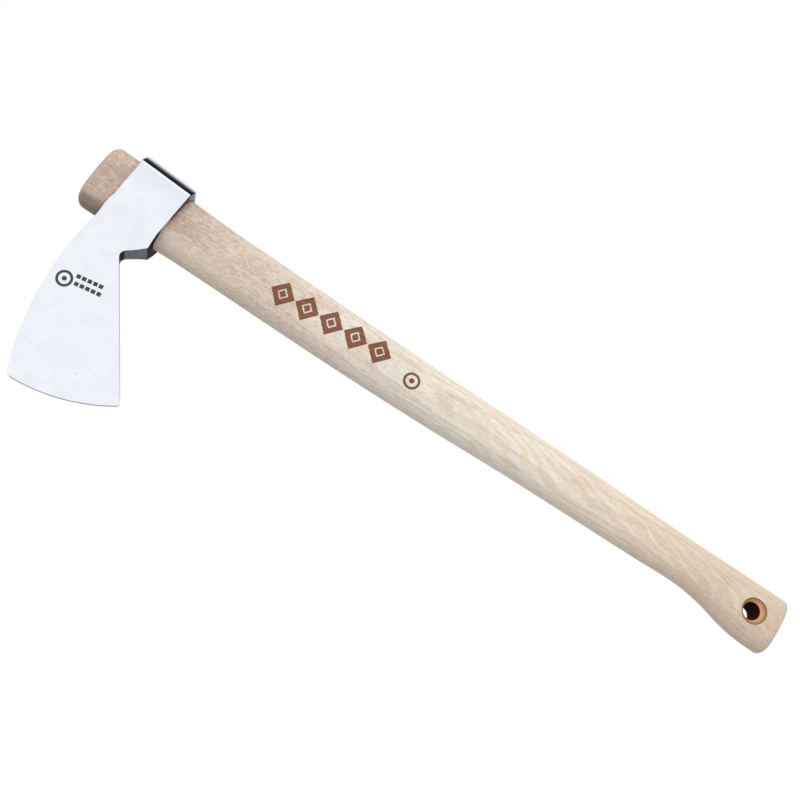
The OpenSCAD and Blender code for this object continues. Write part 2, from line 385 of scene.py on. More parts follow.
def flat_heights():
    """Heights of the straight rows, from the top of the poll to the notch's corner."""
    crease = crease_height()
    first = math.asin((crease + CREASE - POLL_RISE + POLL_RADIUS) / POLL_RADIUS)
    crown = POLL_RISE - POLL_RADIUS + POLL_RADIUS * np.sin(np.linspace(math.pi / 2, first, CROWN_ROWS))
    cheek = np.arange(crease - CREASE, -CHEEK_ROUNDING_DROP, -CHEEK_ROW_STEP)
    lower = np.arange(-CHEEK_ROUNDING_DROP, LAST_FLAT_ROW, -LOWER_ROW_STEP)
    return np.concatenate([crown, cheek, lower, [LAST_FLAT_ROW]])


def flat_row(sides, z):
    """Side-view points of a straight row, which slopes with the poll; z is its height at the upper face."""
    left, right = sides(z)
    for _ in range(SLOPE_PASSES):
        left, right = sides(z - poll_drop(left))[0], sides(z - poll_drop(right))[1]
    middle = (left + right) / 2
    arris = float(arris_at(z, head_half_width(middle, z - poll_drop(middle))))
    share, inset = row_shares(right - left, arris)
    x = left + share * (right - left)
    return np.stack([x, z - poll_drop(x)], 1), inset


def arc_row(reach, radius):
    """Side-view points of a row that runs parallel to the cutting edge."""
    left, right = reach(radius)
    half = float(blade_half_width(radius))
    arris = float(arris_at(EDGE_CENTRE[1] - radius, half))
    share, inset = row_shares(radius * (right - left), arris)
    angles = left + share * (right - left)
    x = EDGE_CENTRE[0] + radius * np.cos(angles)
    z = EDGE_CENTRE[1] + radius * np.sin(angles)
    return np.stack([x, z], 1), inset


def arc_radii():
    """Radii of the curved rows, from the blade's upper part to the cutting edge."""
    shoulder = EDGE_RADIUS - BEVEL_WIDTH
    return np.concatenate([
        np.arange(FIRST_ARC_ROW, shoulder - CREASE, BLADE_ROW_STEP),
        [shoulder - CREASE, shoulder + CREASE],
        np.arange(shoulder + BEVEL_ROW_STEP, EDGE_RADIUS - 0.6, BEVEL_ROW_STEP),
        [EDGE_RADIUS - 0.5, EDGE_RADIUS - 0.2, EDGE_RADIUS],
    ])


def head_rows(eye_x, axis_z):
    """All rows of the head's side view, in local millimetres, with their eased-edge insets."""
    heights, limits = head_profile()
    heights, limits = heights - axis_z, limits - eye_x

    def sides(z):
        return [np.interp(z, heights[::-1], limits[::-1, i]) for i in range(2)]

    below = heights < -CHEEK_ROUNDING_DROP - CHEEK_ROUNDING
    around = []
    for i in range(2):
        x, z = limits[below, i] - EDGE_CENTRE[0], heights[below] - EDGE_CENTRE[1]
        around.append((np.maximum.accumulate(np.hypot(x, z)), np.arctan2(z, x)))

    def reach(radius):
        angles = []
        for distance, angle in around:
            last = int(np.searchsorted(distance, EDGE_RADIUS - PROFILE_INSET)) + 1
            angles.append(np.interp(radius, distance[:last], angle[:last]))
        return angles

    rows = [flat_row(sides, z) for z in flat_heights()]
    first = arc_row(reach, FIRST_ARC_ROW)
    last_flat = rows[-1]
    for t in np.linspace(0, 1, BLEND_ROWS)[1:-1]:
        rows.append(tuple((1 - t) * a + t * b for a, b in zip(last_flat, first)))
    rows += [arc_row(reach, radius) for radius in arc_radii()]
    return rows


def head_body(eye_x, axis_z):
    """Closed head without its eye: two matching skins, joined round the outline."""
    near, far = [], []
    rows = head_rows(eye_x, axis_z)
    for outline, inset in rows:
        x, z = outline[:, 0], outline[:, 1]
        y = np.maximum(head_half_width(x, z) - inset, 0)
        near.append(np.stack([x + eye_x, -y, z + axis_z], 1))
        far.append(np.stack([x + eye_x, y, z + axis_z], 1))
    columns = len(near[0])
    count = len(rows) * columns
    faces = []
    for r in range(len(rows) - 1):
        for k in range(columns - 1):
            a = r * columns + k
            quad = (a, a + 1, a + columns + 1, a + columns)
            faces.append(quad)
            faces.append(tuple(count + i for i in quad[::-1]))
        for a in (r * columns, r * columns + columns - 1):
            faces.append((a, a + columns, count + a + columns, count + a))
    for k in range(columns - 1):
        a = (len(rows) - 1) * columns + k
        faces.append((a, a + 1, count + a + 1, count + a))
    return np.concatenate(near + far), faces


def eye_cutter(profile, upper, lower, axis_z):
    """Body that cuts the eye: the haft's own section with clearance, flared at the eye's two faces."""
    wide = EYE_CLEARANCE + EYE_CHAMFER
    stops = [(upper - 3 * CUT_MARGIN, wide), (upper, wide), (upper + EYE_CHAMFER, EYE_CLEARANCE)]
    stops += [(x, EYE_CLEARANCE) for x in np.arange(upper + RING_STEP, lower - 1, RING_STEP)]
    rings = [haft_ring(profile, x, grow) for x, grow in stops]
    slope = FACE_LEAN / (POLL_RISE + NOTCH_MOUTH_DROP)
    mouth = [(lower - EYE_CHAMFER, EYE_CLEARANCE), (lower, wide), (lower + CUT_MARGIN, wide + CUT_MARGIN)]
    for x, grow in mouth:
        ring = haft_ring(profile, x, grow)
        ring[:, 0] += slope * (ring[:, 2] - axis_z + NOTCH_MOUTH_DROP)
        rings.append(ring)
    return make_piece("eye_cutter", *loft(rings))


def build_head(profile, axis_z, material):
    upper, lower = eye_faces(axis_z)
    head = make_piece("head_steel", *head_body(lower, axis_z))
    cut_away(head, eye_cutter(profile, upper, lower, axis_z))
    finish_piece(head, "head", material, 38)
    return head


# ---------------------------------------------------------------- material tools

def srgb(red, green, blue):
    """A display colour, 0 to 255, as Blender's linear colour."""
    parts = [c / 255 for c in (red, green, blue)]
    return tuple(c / 12.92 if c <= 0.04045 else ((c + 0.055) / 1.055) ** 2.4 for c in parts) + (1.0,)


class Graph:
    """Short words for building a node tree."""

    def __init__(self, tree):
        self.tree = tree
        tree.nodes.clear()

    def add(self, kind, inputs=None, **settings):
        node = self.tree.nodes.new(kind)
        for name, value in settings.items():
            setattr(node, name, value)
        for name, value in (inputs or {}).items():
            if isinstance(value, bpy.types.NodeSocket):
                self.tree.links.new(value, node.inputs[name])
            else:
                node.inputs[name].default_value = value
        return node

    def math(self, operation, a, b=0.0, clamp=False):
        return self.add("ShaderNodeMath", {0: a, 1: b}, operation=operation, use_clamp=clamp).outputs[0]

    def split(self, vector):
        return self.add("ShaderNodeSeparateXYZ", {0: vector}).outputs

    def join(self, x, y, z):
        return self.add("ShaderNodeCombineXYZ", {0: x, 1: y, 2: z}).outputs[0]

    def noise(self, vector, scale=1.0, detail=2.0, roughness=0.5, distortion=0.0):
        return self.add("ShaderNodeTexNoise", {
            "Vector": vector, "Scale": scale, "Detail": detail,
            "Roughness": roughness, "Distortion": distortion}).outputs["Fac"]

    def stretched_noise(self, place, sizes, **settings):
        """Noise with its own size in millimetres along X, Y and Z."""
        return self.noise(self.join(*(self.math("DIVIDE", p, s) for p, s in zip(place, sizes))), **settings)

    def fade(self, value, start, stop, low=0.0, high=1.0):
        """Smooth step of value from start to stop."""
        return self.add("ShaderNodeMapRange", {
            "Value": value, "From Min": start, "From Max": stop, "To Min": low, "To Max": high},
            interpolation_type="SMOOTHSTEP").outputs[0]

    def mix(self, share, a, b, blend="MIX"):
        node = self.add("ShaderNodeMix", {0: share}, data_type="RGBA", blend_type=blend)
        for socket, value in ((node.inputs[6], a), (node.inputs[7], b)):
            if isinstance(value, bpy.types.NodeSocket):
                self.tree.links.new(value, socket)
            else:
                socket.default_value = value
        return node.outputs[2]

    def ramp(self, value, stops):
        node = self.add("ShaderNodeValToRGB", {0: value})
        elements = node.color_ramp.elements
        while len(elements) < len(stops):
            elements.new(0.5)
        for element, (place, colour) in zip(elements, stops):
            element.position = place
            element.color = colour
        return node.outputs[0]

    def inside(self, value, limit, soft):
        """1 where value is under limit, fading out over soft."""
        return self.fade(value, limit - soft / 2, limit + soft / 2, 1.0, 0.0)

    def both(self, a, b):
        return self.math("MULTIPLY", a, b)

    def either(self, a, b):
        return self.math("MAXIMUM", a, b)


def new_material(name):
    material = bpy.data.materials.new(name)
    material.use_nodes = True
    return material, Graph(material.node_tree)


def place_in_mm(graph):
    """Object coordinates in millimetres: the vector and its three parts."""
    coordinate = graph.add("ShaderNodeTexCoord").outputs["Object"]
    vector = graph.add("ShaderNodeVectorMath", {0: coordinate, "Scale": 1 / MM}, operation="SCALE").outputs[0]
    x, y, z = graph.split(vector)
    return x, y, z


def surface(graph, colour, metallic, roughness, height, distance):
    """Principled shader with a bump, connected to the output."""
    bump = graph.add("ShaderNodeBump", {"Height": height, "Distance": distance * MM, "Strength": 1.0})
    shader = graph.add("ShaderNodeBsdfPrincipled", {
        "Base Color": colour, "Metallic": metallic, "Roughness": roughness, "Normal": bump.outputs[0]})
    graph.add("ShaderNodeOutputMaterial", {"Surface": shader.outputs[0]})
    return shader


# ---------------------------------------------------------------- generic marks, as masks

BURN_CENTRE = (-79.0, 1.3)
BURN_TILT = math.radians(3.5)
BURN_PITCH = 17.0
BURN_COUNT = 5
BURN_HALF_HEIGHT = 8.8
BURN_HEART = 3.4
BURN_HEART_WIDTH = 0.7
RING_CENTRE = (-19.0, -0.6)
RING_RADIUS = 4.6
ETCH_CENTRE = (-28.6, -67.6)
ETCH_TILT = math.radians(10)
ETCH_RADIUS = 4.4


def turned(graph, u, v, centre, angle):
    """Coordinates about a centre, turned by an angle."""
    du, dv = graph.math("SUBTRACT", u, centre[0]), graph.math("SUBTRACT", v, centre[1])
    cos, sin = math.cos(angle), math.sin(angle)
    along = graph.math("ADD", graph.math("MULTIPLY", du, cos), graph.math("MULTIPLY", dv, sin))
    across = graph.math("SUBTRACT", graph.math("MULTIPLY", dv, cos), graph.math("MULTIPLY", du, sin))
    return along, across


def length_of(graph, u, v):
    return graph.math("SQRT", graph.math("ADD", graph.math("MULTIPLY", u, u), graph.math("MULTIPLY", v, v)))


def ring_mask(graph, u, v, radius, half_width, soft):
    off = graph.math("ABSOLUTE", graph.math("SUBTRACT", length_of(graph, u, v), radius))
    return graph.inside(off, half_width, soft)


def bar_mask(graph, u, v, middle, half_length, half_width, soft):
    """A plain straight bar."""
    along = graph.math("ABSOLUTE", graph.math("SUBTRACT", u, middle[0]))
    across = graph.math("ABSOLUTE", graph.math("SUBTRACT", v, middle[1]))
    return graph.both(graph.inside(along, half_length, soft), graph.inside(across, half_width, soft))


def burn_mask(graph, x, z, ragged):
    """Masks of the burnt marks and of their darker rims.

    The marks are a row of plain lozenges, each with a thin line left inside it, and a small ring with a dot.
    """
    soft = 0.5
    u, v = turned(graph, x, z, BURN_CENTRE, BURN_TILT)
    u, v = graph.math("ADD", u, ragged), graph.math("ADD", v, ragged)
    half_row = BURN_PITCH * BURN_COUNT / 2
    cell = graph.math("MODULO", graph.math("ADD", u, half_row + 4 * BURN_PITCH), BURN_PITCH)
    off = graph.math("ABSOLUTE", graph.math("SUBTRACT", cell, BURN_PITCH / 2))
    slope = BURN_HALF_HEIGHT / (BURN_PITCH * 0.48)
    lozenge = graph.math("ADD", graph.math("MULTIPLY", off, slope), graph.math("ABSOLUTE", v))
    row = graph.both(
        graph.inside(lozenge, BURN_HALF_HEIGHT, soft),
        graph.inside(graph.math("ABSOLUTE", u), half_row, soft))
    heart = graph.math("ABSOLUTE", graph.math("SUBTRACT", lozenge, BURN_HEART))
    row = graph.both(row, graph.math("SUBTRACT", 1.0, graph.inside(heart, BURN_HEART_WIDTH, soft)))
    ru, rv = turned(graph, x, z, RING_CENTRE, 0)
    ring = ring_mask(graph, ru, rv, RING_RADIUS, 0.8, soft)
    dot = graph.inside(length_of(graph, ru, rv), 1.7, soft)
    rim = graph.either(
        graph.fade(lozenge, BURN_HALF_HEIGHT - 2.2, BURN_HALF_HEIGHT - 0.8), graph.inside(heart, 1.7, 0.8))
    return graph.either(row, graph.either(ring, dot)), rim


def dash_mask(graph, u, v, middle, half_length, half_width, pitch, soft):
    """A row of plain dashes, three quarters of each pitch long."""
    row = bar_mask(graph, u, v, middle, half_length, half_width, soft)
    start = graph.math("ADD", graph.math("SUBTRACT", u, middle[0]), half_length + pitch)
    cell = graph.math("MODULO", start, pitch)
    return graph.both(row, graph.inside(cell, 0.75 * pitch, soft))


def etch_mask(graph, x, z):
    """A small ring with a dot, beside two rows of plain dashes."""
    soft = 0.3
    u, v = turned(graph, x, z, ETCH_CENTRE, ETCH_TILT)
    ring = ring_mask(graph, u, v, ETCH_RADIUS, 0.85, soft)
    dot = graph.inside(length_of(graph, u, v), 1.5, soft)
    upper = dash_mask(graph, u, v, (14.6, 4.6), 8.9, 1.3, 3.6, soft)
    lower = dash_mask(graph, u, v, (15.4, -0.2), 8.9, 1.3, 3.6, soft)
    return graph.either(graph.either(ring, dot), graph.either(upper, lower))


# ---------------------------------------------------------------- materials

WOOD_BY_PLACE = [
    (0.0, srgb(168, 152, 140)),
    (0.06, srgb(165, 149, 137)),
    (0.12, srgb(167, 152, 139)),
    (0.2, srgb(199, 188, 175)),
    (0.35, srgb(218, 213, 202)),
    (0.6, srgb(224, 220, 208)),
    (0.75, srgb(222, 213, 200)),
    (0.87, srgb(210, 194, 177)),
    (1.0, srgb(198, 183, 165)),
]


# Colours of the wood's layers
LATE_WOOD = srgb(188, 160, 136)
WARM_TINT = srgb(212, 186, 166)
DARK_FIBRE = srgb(168, 144, 124)
PALE_FIBRE = srgb(240, 234, 224)
LONG_FLECK = srgb(150, 124, 106)
SHORT_FLECK = srgb(142, 116, 100)
DARK_CURL = srgb(158, 126, 110)
PALE_CURL = srgb(216, 201, 186)
TAN_ARCH = srgb(212, 190, 158)
PALE_ARCH = srgb(236, 226, 214)
# Painted light: the lower side next to the head made paler to stand in for light there
LOWER_SIDE_PAINTED_LIGHT = srgb(236, 222, 206)
CHAR = srgb(134, 78, 46), srgb(102, 54, 30)
CHAR_RIM = srgb(96, 48, 30)
END_GRAIN = srgb(136, 112, 96)
# Painted shade on the down-facing side of the haft above the head
UNDERSIDE_PAINTED_SHADE = srgb(116, 96, 84)
# Painted shade in the hanging hole's countersink, from its lip to its foot, and in the bore, with painted
# light on the bore's lit side
LIP_PAINTED_SHADE = srgb(140, 92, 60)
WALL_PAINTED_SHADE = srgb(178, 134, 94)
FOOT_PAINTED_SHADE = srgb(196, 158, 122)
BORE_PAINTED_SHADE = srgb(14, 4, 4)
BORE_PAINTED_LIGHT = srgb(84, 16, 14)

# Sizes of the wood's noises along X, Y and Z, in millimetres
TINT_SIZE = (60.0, 9.0, 9.0)
FIBRE_SIZE = (26.0, 0.5, 0.5)
CURL_SIZE = (3.4, 1.1, 1.1)
WARP_SIZE = (90.0, 40.0, 26.0)
RAGGED_SIZE = (1.6, 1.0, 0.7)
RAGGED_DEPTH = 0.9

# Dashes along the grain: length and width, and the noise levels where they start and are full
LONG_FLECKS = (5.0, 0.42, 0.6, 0.72)
SHORT_FLECKS = (1.8, 0.5, 0.62, 0.74)

# Growth rings: where the pith lies behind the haft, how far the rings waver, and their spacing
PITH_Y = 58.0
RING_WAVER = 7.0
RING_SPACING = 1.9

# Arches in the figure: how far they trail along the back edge, how fast that grows with height, their spacing
ARCH_TRAIL = 12.9
ARCH_GROWTH = 0.11
ARCH_PITCH = 2.9
ARCH_WARP = 75.0


def wood_figure(graph, x, y, z):
    """Growth rings: 0 in early wood to 1 at the late-wood line, cut lengthwise into long arches."""
    warp = graph.noise(graph.join(
        graph.math("MULTIPLY", x, 0.012), graph.math("MULTIPLY", y, 0.05), graph.math("MULTIPLY", z, 0.05)),
        detail=3.0)
    pith = length_of(graph, graph.math("SUBTRACT", y, PITH_Y), graph.math("MULTIPLY", z, 0.75))
    lean = graph.math("MULTIPLY", x, 0.022)
    place = graph.math("ADD", graph.math("ADD", pith, lean), graph.math("MULTIPLY", warp, RING_WAVER))
    ring = graph.math("FRACT", graph.math("DIVIDE", place, RING_SPACING))
    rise = graph.fade(ring, 0.25, 0.86)
    return graph.both(rise, graph.fade(ring, 0.9, 1.0, 1.0, 0.0))


def wood_arches(graph, x, rise, warp):
    """Tan bands and pale bands between them, in arches that point to the butt."""
    trail = graph.math("EXPONENT", graph.math("MULTIPLY", rise, ARCH_GROWTH))
    place = graph.math("ADD", x, graph.math("MULTIPLY", trail, ARCH_TRAIL))
    place = graph.math("ADD", place, graph.math("MULTIPLY", warp, ARCH_WARP))
    band = graph.math("SINE", graph.math("DIVIDE", place, ARCH_PITCH))
    fine = graph.math("SINE", graph.math("DIVIDE", place, ARCH_PITCH * 0.37))
    band = graph.math("ADD", band, graph.math("MULTIPLY", fine, 0.3))
    return graph.fade(band, -0.5, 1.2), graph.fade(band, -0.3, -1.2)


def wood_flecks(graph, x, y, z, length, width, low, high):
    """Short dashes along the grain."""
    spots = graph.stretched_noise((x, y, z), (length, width, width), detail=1.5, distortion=0.25)
    return graph.fade(spots, low, high)


def hole_shades(graph, x, z, colour):
    """Colour with painted shade in the hanging hole, on the countersink and in a dark bore with painted light
    on one side, and the bore as a mask.
    """
    centre = np.array(HOLE["pos_m"]) / MM
    outer = [centre[0] + COUNTERSINK_SHIFT[0], centre[2] + COUNTERSINK_SHIFT[1]]
    off = length_of(graph, graph.math("SUBTRACT", x, outer[0]), graph.math("SUBTRACT", z, outer[1]))
    # Painted shade on the countersink's lip, wall and foot
    countersink_shade = graph.mix(graph.inside(off, COUNTERSINK_RADIUS, 0.4), colour, LIP_PAINTED_SHADE)
    countersink_shade = graph.mix(graph.inside(off, COUNTERSINK_RADIUS - 0.9, 1.2), countersink_shade, WALL_PAINTED_SHADE)
    countersink_shade = graph.mix(graph.inside(off, COUNTERSINK_RADIUS - 2.2, 1.0), countersink_shade, FOOT_PAINTED_SHADE)
    off = length_of(graph, graph.math("SUBTRACT", x, centre[0]), graph.math("SUBTRACT", z, centre[2]))
    bore = graph.inside(off, HOLE["dims"]["r_mm"] + 0.3, 0.3)
    # Painted shade in the bore, lighter towards the butt as painted light
    bore_shade = graph.mix(graph.fade(x, centre[0] - 3.0, centre[0] + 5.0), BORE_PAINTED_SHADE, BORE_PAINTED_LIGHT)
    return graph.mix(bore, countersink_shade, bore_shade), bore


def fleck_layers(graph, place, share, base):
    """Colour with dashes along the grain and curls near the head, and the long dashes as a mask."""
    long_flecks = wood_flecks(graph, *place, *LONG_FLECKS)
    short_flecks = wood_flecks(graph, *place, *SHORT_FLECKS)
    near_head = graph.fade(share, 0.6, 0.12, 0.25, 1.0)
    base = graph.mix(graph.both(long_flecks, 0.42), base, LONG_FLECK)
    base = graph.mix(graph.both(graph.both(short_flecks, near_head), 0.55), base, SHORT_FLECK)
    curl = graph.stretched_noise(place, CURL_SIZE, detail=3.0, distortion=0.9)
    dark_curl = graph.both(graph.fade(curl, 0.5, 0.62), graph.both(near_head, 0.42))
    base = graph.mix(dark_curl, base, DARK_CURL)
    pale_curl = graph.both(graph.fade(curl, 0.46, 0.36), graph.both(near_head, 0.45))
    return graph.mix(pale_curl, base, PALE_CURL), long_flecks


def arch_layers(graph, place, rise, share, base):
    """Colour with the figure's arches, and painted light that makes the lower side paler next to the head."""
    warp = graph.stretched_noise(place, WARP_SIZE, detail=2.0)
    tan, pale = wood_arches(graph, place[0], rise, warp)
    strength = graph.both(
        graph.fade(share, 0.35, 0.62, 0.1, 1.0),
        graph.fade(rise, -14.0, 6.0, 0.25, 1.0))
    base = graph.mix(graph.both(graph.both(tan, strength), 0.5), base, TAN_ARCH)
    base = graph.mix(graph.both(graph.both(pale, strength), 0.28), base, PALE_ARCH)
    below_head = graph.both(graph.fade(share, 0.3, 0.12), graph.fade(share, 0.07, 0.1))
    # Painted light on the lower side next to the head
    lower_side_painted_light = graph.both(graph.fade(rise, -3.0, -15.0), below_head)
    return graph.mix(graph.both(lower_side_painted_light, 0.45), base, LOWER_SIDE_PAINTED_LIGHT)


def burnt_layer(graph, place, rise, fibre, base):
    """Colour with the burnt marks on the near side, and the marks as a mask."""
    rough_edge = graph.stretched_noise(place, RAGGED_SIZE, detail=2.0)
    ragged = graph.math("MULTIPLY", graph.math("SUBTRACT", rough_edge, 0.5), RAGGED_DEPTH)
    near_side = graph.fade(place[1], -2.0, -4.0)
    burn, rim = burn_mask(graph, place[0], rise, ragged)
    burn = graph.both(burn, near_side)
    char = graph.mix(graph.fade(fibre, 0.3, 0.7), *CHAR)
    char = graph.mix(graph.both(rim, 0.6), char, CHAR_RIM)
    return graph.mix(graph.both(burn, 0.95), base, char), burn


def end_grain_and_painted_shade(graph, share, base):
    """Colour with darker end grain, and painted shade on the underside above the head."""
    normal = graph.split(graph.add("ShaderNodeNewGeometry").outputs["True Normal"])
    end_grain = graph.fade(graph.math("ABSOLUTE", normal[0]), 0.75, 0.97)
    base = graph.mix(graph.both(end_grain, 0.5), base, END_GRAIN)
    # Painted shade: darker where the haft faces down, above the head
    underside_painted_shade = graph.both(graph.fade(normal[2], -0.4, -0.7), graph.fade(share, 0.12, 0.08))
    return graph.mix(graph.both(underside_painted_shade, 0.6), base, UNDERSIDE_PAINTED_SHADE)


def wood_material(axis_z):
    material, graph = new_material("haft_wood")
    x, y, z = place_in_mm(graph)
    low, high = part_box("haft")
    share = graph.add("ShaderNodeMapRange", {
        "Value": x, "From Min": low.x / MM, "From Max": high.x / MM}).outputs[0]
    rise = graph.math("SUBTRACT", z, axis_z)
    base = graph.ramp(share, WOOD_BY_PLACE)

    figure = wood_figure(graph, x, y, rise)
    base = graph.mix(graph.both(figure, 0.36), base, LATE_WOOD)
    tint = graph.stretched_noise((x, y, z), TINT_SIZE, detail=3.0)
    base = graph.mix(graph.fade(tint, 0.35, 0.7, 0.0, 0.3), base, WARM_TINT)
    fibre = graph.stretched_noise((x, y, z), FIBRE_SIZE, detail=4.0)
    base = graph.mix(graph.fade(fibre, 0.42, 0.72, 0.0, 0.34), base, DARK_FIBRE)
    base = graph.mix(graph.fade(fibre, 0.45, 0.25, 0.0, 0.3), base, PALE_FIBRE)
    base, long_flecks = fleck_layers(graph, (x, y, z), share, base)
    base = arch_layers(graph, (x, y, z), rise, share, base)
    base, burn = burnt_layer(graph, (x, y, z), rise, fibre, base)
    base = end_grain_and_painted_shade(graph, share, base)
    base, bore = hole_shades(graph, x, z, base)

    height = graph.math("SUBTRACT", graph.both(fibre, 0.5), graph.both(long_flecks, 0.6))
    height = graph.math("SUBTRACT", height, graph.both(burn, 1.6))
    roughness = graph.fade(fibre, 0.2, 0.8, 0.5, 0.68)
    shader = surface(graph, base, 0.0, roughness, height, 0.09)
    graph.tree.links.new(graph.fade(bore, 0.0, 1.0, 0.3, 0.02), shader.inputs["Specular IOR Level"])
    return material


def forged_share(graph, rise):
    """1 on the faces that aren't ground: the outline's edges and the notch, fading out up the eye."""
    normal = graph.split(graph.add("ShaderNodeNewGeometry").outputs["True Normal"])
    edge_on = graph.inside(graph.math("ABSOLUTE", normal[1]), 0.42, 0.2)
    return graph.both(edge_on, graph.fade(rise, -6.0, -15.0))


def eye_shadow_mask(graph, y, rise, section):
    """1 in the eye and in the thin line round its mouth, where painted shadow goes, from the haft's section
    there.
    """
    low, high, half = section
    across = graph.math("POWER", graph.math("DIVIDE", graph.math("ABSOLUTE", y), half), SECTION_POWER)
    off = graph.math("ABSOLUTE", graph.math("SUBTRACT", rise, (low + high) / 2))
    along = graph.math("POWER", graph.math("DIVIDE", off, (high - low) / 2), SECTION_POWER)
    return graph.fade(graph.math("ADD", across, along), 1.22, 1.12)


# Colours of the steel: polished faces first with their painted reflection and highlight, then the forged
# ones, the painted shade and shadow, and the marks
GROUND = srgb(242, 245, 251), srgb(238, 241, 248)
# Painted reflection: the bluish cast on the cheek towards the poll
POLL_SIDE_PAINTED_REFLECTION = srgb(231, 233, 246)
# Painted highlight along the crease where the poll meets the cheeks
CREASE_PAINTED_HIGHLIGHT = srgb(253, 254, 255)
SPECK = srgb(150, 156, 182)
FORGED = srgb(128, 126, 138), srgb(172, 170, 184)
# Painted shade: near black on forged faces that face the butt
BUTT_FACING_PAINTED_SHADE = srgb(16, 14, 16)
# Painted shade on the eye's lower face near the poll
EYE_FACE_PAINTED_SHADE = srgb(48, 48, 56)
# Painted shadow in the eye and in the gap round its mouth
EYE_MOUTH_PAINTED_SHADOW = srgb(40, 28, 24)
# Darker line along the cutting edge
EDGE_LINE = srgb(70, 72, 80)
ETCHED = srgb(20, 20, 24)

# Sizes of the steel's noises along X, Y and Z, in millimetres
SCRATCH_SIZE = (30.0, 0.25, 0.25)
CLOUD_SIZE = (9.0, 9.0, 9.0)
SPECK_SIZE = (2.2, 2.2, 2.2)
STREAK_SIZE = (3.0, 0.9, 3.0)


def steel_material(eye_x, axis_z, section):
    material, graph = new_material("head_steel")
    x, y, z = place_in_mm(graph)
    rise = graph.math("SUBTRACT", z, axis_z)
    out = graph.math("SUBTRACT", x, eye_x)
    scratches = graph.stretched_noise((x, y, z), SCRATCH_SIZE, detail=3.0)
    cloud = graph.stretched_noise((x, y, z), CLOUD_SIZE, detail=3.0)
    ground = graph.mix(graph.fade(cloud, 0.35, 0.65), *GROUND)
    drop = graph.math("MULTIPLY", graph.math("ADD", out, EYE_HEIGHT), POLL_SLOPE)
    level = graph.math("ADD", rise, drop)
    # Painted reflection: the cheek takes a bluish cast towards the poll
    ground = graph.mix(graph.fade(level, 0.0, 19.0, 0.0, 0.8), ground, POLL_SIDE_PAINTED_REFLECTION)
    crease = crease_height()
    # Painted highlight: a bright line along the crease
    crease_highlight = graph.both(
        graph.fade(level, crease - 1.5, crease - 0.7),
        graph.fade(level, crease + 0.3, crease))
    ground = graph.mix(crease_highlight, ground, CREASE_PAINTED_HIGHLIGHT)
    speck = graph.stretched_noise((x, y, z), SPECK_SIZE, detail=1.0)
    ground = graph.mix(graph.fade(speck, 0.74, 0.82, 0.0, 0.35), ground, SPECK)

    streak = graph.stretched_noise((x, y, z), STREAK_SIZE, detail=4.0)
    scale = graph.mix(graph.fade(streak, 0.35, 0.7), *FORGED)
    forged = forged_share(graph, rise)
    normal = graph.split(graph.add("ShaderNodeNewGeometry").outputs["True Normal"])
    # Painted shade: forged faces that face the butt go near black and dull
    butt_facing_shade = graph.fade(normal[0], 0.55, 0.9)
    scale = graph.mix(butt_facing_shade, scale, BUTT_FACING_PAINTED_SHADE)
    colour = graph.mix(forged, ground, scale)
    # Painted shade: the eye's lower face darkened on the poll side
    eye_face_shade = graph.both(graph.fade(normal[0], 0.25, 0.6), graph.fade(rise, -6.0, 0.0))
    colour = graph.mix(eye_face_shade, colour, EYE_FACE_PAINTED_SHADE)
    # Painted shadow in the eye and along the gap between steel and wood
    colour = graph.mix(eye_shadow_mask(graph, y, rise, section), colour, EYE_MOUTH_PAINTED_SHADOW)

    from_centre = length_of(
        graph, graph.math("SUBTRACT", out, EDGE_CENTRE[0]), graph.math("SUBTRACT", rise, EDGE_CENTRE[1]))
    # A darker line just inside the cutting edge
    edge_line = graph.fade(from_centre, EDGE_RADIUS - 0.8, EDGE_RADIUS - 0.2, 0.0, 0.75)
    colour = graph.mix(edge_line, colour, EDGE_LINE)
    etch = graph.both(etch_mask(graph, out, rise), graph.fade(y, -1.0, -2.0))
    colour = graph.mix(graph.both(etch, 0.97), colour, ETCHED)

    roughness = graph.math("ADD", graph.fade(scratches, 0.3, 0.7, 0.16, 0.26), graph.both(forged, 0.26))
    roughness = graph.math("SUBTRACT", roughness, graph.fade(level, 17.0, 19.0, 0.0, 0.1))
    roughness = graph.math("ADD", roughness, graph.both(etch, 0.25))
    dull_painted_shade = graph.both(forged, butt_facing_shade)
    metallic = graph.math("SUBTRACT", 1.0, graph.either(etch, dull_painted_shade))
    height = graph.math("ADD", graph.both(scratches, 0.25), graph.both(graph.both(streak, forged), 1.4))
    height = graph.math("SUBTRACT", height, graph.both(etch, 1.0))
    shader = surface(graph, colour, metallic, roughness, height, 0.05)
    graph.tree.links.new(graph.fade(dull_painted_shade, 0.0, 1.0, 0.5, 0.03), shader.inputs["Specular IOR Level"])
    return material


# ---------------------------------------------------------------- stage, light and camera

def floor_material():
    """Pale floor, seen only from above, so that the photograph's low viewpoint looks past it."""
    material, graph = new_material("floor")
    coordinate = graph.add("ShaderNodeTexCoord").outputs["Object"]
    mottle = graph.noise(coordinate, scale=6.0, detail=4.0)
    colour = graph.mix(mottle, srgb(238, 238, 240), srgb(244, 244, 245))
    matt = graph.add("ShaderNodeBsdfDiffuse", {"Color": colour})
    clear = graph.add("ShaderNodeBsdfTransparent")
    back = graph.add("ShaderNodeNewGeometry").outputs["Backfacing"]
    mixed = graph.add("ShaderNodeMixShader", {0: back, 1: matt.outputs[0], 2: clear.outputs[0]})
    graph.add("ShaderNodeOutputMaterial", {"Surface": mixed.outputs[0]})
    return material


def build_floor():
    half, level = FLOOR_HALF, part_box("head")[0].z - FLOOR_GAP
    mesh = bpy.data.meshes.new("floor")
    corners = [(-half, -half, level), (half, -half, level), (half, half, level), (-half, half, level)]
    mesh.from_pydata(corners, [], [(0, 1, 2, 3)])
    floor = bpy.data.objects.new("floor", mesh)
    bpy.context.scene.collection.objects.link(floor)
    mesh.materials.append(floor_material())
    floor.visible_diffuse = False
    floor.visible_glossy = False


